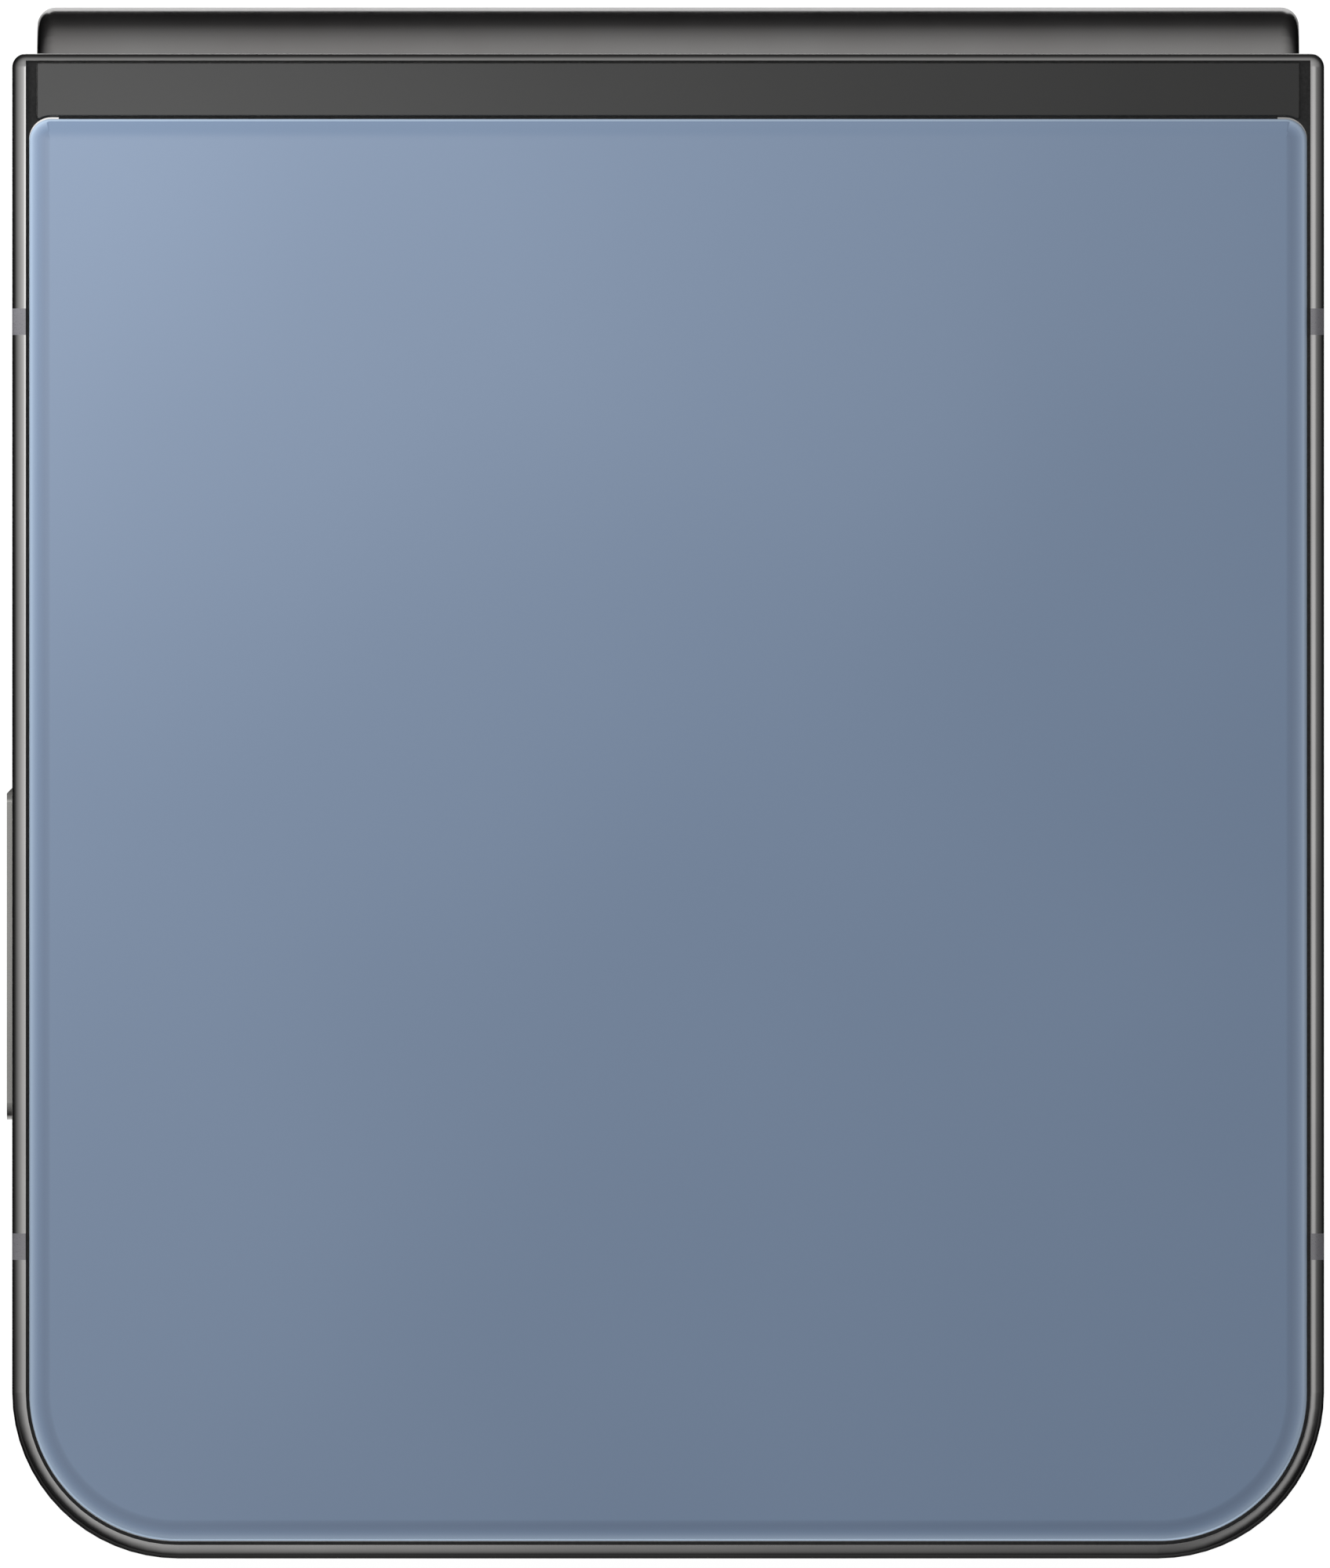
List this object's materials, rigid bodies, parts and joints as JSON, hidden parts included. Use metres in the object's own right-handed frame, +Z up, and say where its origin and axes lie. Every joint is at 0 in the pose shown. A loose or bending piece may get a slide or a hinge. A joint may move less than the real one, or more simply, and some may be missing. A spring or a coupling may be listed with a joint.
{
  "type": "folding smartphone",
  "caption": "Clamshell smartphone that folds across a geared spine hinge, with glass backs in a metal frame, a folding inner screen, keys and a card tray.",
  "frame": {"origin": "centre of the closed phone's footprint, at the outer face of the lens rings", "axes": "+X across the phone, towards the card tray's rail; +Y along the phone, towards the hinge spine; +Z up, out of the lower half's back glass"},
  "size_m": [0.0724, 0.0852, 0.0161],
  "materials": {
    "polished_frame": "anodised graphite, polished",
    "spine_metal": "anodised graphite, polished",
    "key_metal": "anodised graphite, polished",
    "lens_ring": "anodised graphite, turned edge",
    "antenna_plastic": "satin insert, flush with the rail",
    "trim_strip": "satin graphite",
    "back_glass": "blue-grey, gloss, with a coloured backing",
    "cover_glass": "black gloss",
    "screen": "black gloss, switched off",
    "lens_glass": "dark coated glass",
    "flash_diffuser": "pale translucent",
    "bezel_plastic": "black satin",
    "bumper_rubber": "black",
    "battery_foil": "dark foil",
    "circuit_board": "solder mask",
    "camera_body": "black",
    "module_plastic": "black",
    "stamped_steel": "stamped, bright",
    "port_steel": "drawn",
    "switch_steel": "dome switches on a flex",
    "screw_steel": "plain",
    "gear_steel": "sintered",
    "hinge_steel": "moulded and ground",
    "coil_copper": "copper winding",
    "dust_felt": "short black pile"
  },
  "bodies": {
    "upper_half": {"upper_frame": "polished_frame", "upper_antenna_bands": "antenna_plastic", "cover_glass": "cover_glass", "upper_hinge_trim": "trim_strip", "upper_bezel": "bezel_plastic", "upper_bumpers": "bumper_rubber", "upper_display": "screen", "cover_display": "screen", "upper_battery": "battery_foil", "main_board": "circuit_board", "board_shield": "stamped_steel", "main_camera_housing": "camera_body", "wide_camera": "camera_body", "lens_rings": "lens_ring", "lens_windows": "lens_glass", "flash_lens": "flash_diffuser", "front_camera": "camera_body", "earpiece_speaker": "module_plastic", "sim_socket": "stamped_steel", "key_switches": "switch_steel", "upper_screws": "screw_steel", "upper_pivot_gears": "gear_steel", "dust_brush_upper": "dust_felt"},
    "spine": {"spine_cover": "spine_metal", "hinge_block_left": "hinge_steel", "hinge_block_right": "hinge_steel", "centre_plate": "hinge_steel", "display_fold": "screen", "idler_axles": "gear_steel", "friction_washers": "gear_steel", "spine_screws": "screw_steel"},
    "lower_half": {"lower_frame": "polished_frame", "lower_antenna_bands": "antenna_plastic", "back_glass": "back_glass", "lower_hinge_trim": "trim_strip", "lower_bezel": "bezel_plastic", "lower_bumpers": "bumper_rubber", "lower_display": "screen", "lower_battery": "battery_foil", "charging_coil": "coil_copper", "charge_board": "circuit_board", "connector_bracket": "stamped_steel", "usb_c_port": "port_steel", "loudspeaker": "module_plastic", "vibration_motor": "stamped_steel", "microphone": "stamped_steel", "lower_screws": "screw_steel", "lower_pivot_gears": "gear_steel", "dust_brush_lower": "dust_felt"},
    "idler_lower": {"idler_gears_lower": "gear_steel"},
    "idler_upper": {"idler_gears_upper": "gear_steel"},
    "volume_rocker": {"volume_key": "key_metal"},
    "power_button": {"side_key": "key_metal"},
    "sim_drawer": {"sim_tray": "key_metal"},
    "focus_stage": {"focus_barrel": "camera_body"}
  },
  "joints": [
    {"name": "spine_fold", "type": "hinge", "parent": "upper_half", "child": "spine", "pos_m": [0, 0.0388, 0.00735], "axis": [-1, 0, 0], "range_deg": [0, 90], "deforming": ["display_fold"]},
    {"name": "lower_half_fold", "type": "hinge", "parent": "spine", "child": "lower_half", "pos_m": [0, 0.0388, 0.00975], "axis": [-1, 0, 0], "range_deg": [0, 90]},
    {"name": "idler_lower_spin", "type": "hinge", "parent": "spine", "child": "idler_lower", "pos_m": [0, 0.04023, 0.0093], "axis": [-1, 0, 0], "range_deg": [-90, 0]},
    {"name": "idler_upper_spin", "type": "hinge", "parent": "spine", "child": "idler_upper", "pos_m": [0, 0.04023, 0.0078], "axis": [-1, 0, 0], "range_deg": [0, 90]},
    {"name": "volume_rock", "type": "hinge", "parent": "upper_half", "child": "volume_rocker", "pos_m": [-0.03438, -0.00936, 0.00445], "axis": [0, 0, 1], "range_deg": [-1, 1], "stiffness_Nm_per_rad": 0.8},
    {"name": "side_key_press", "type": "slide", "parent": "upper_half", "child": "power_button", "axis": [1, 0, 0], "range_m": [0, 0.0002], "stiffness_N_per_m": 4000},
    {"name": "sim_tray_slide", "type": "slide", "parent": "upper_half", "child": "sim_drawer", "axis": [1, 0, 0], "range_m": [0, 0.0175]},
    {"name": "focus_slide", "type": "slide", "parent": "upper_half", "child": "focus_stage", "axis": [0, 0, -1], "range_m": [0, 0.0003], "stiffness_N_per_m": 200}
  ],
  "couplings": [
    {"joint": "lower_half_fold", "follows": "spine_fold", "ratio": 1},
    {"joint": "idler_lower_spin", "follows": "spine_fold", "ratio": -1},
    {"joint": "idler_upper_spin", "follows": "spine_fold", "ratio": 1}
  ]
}
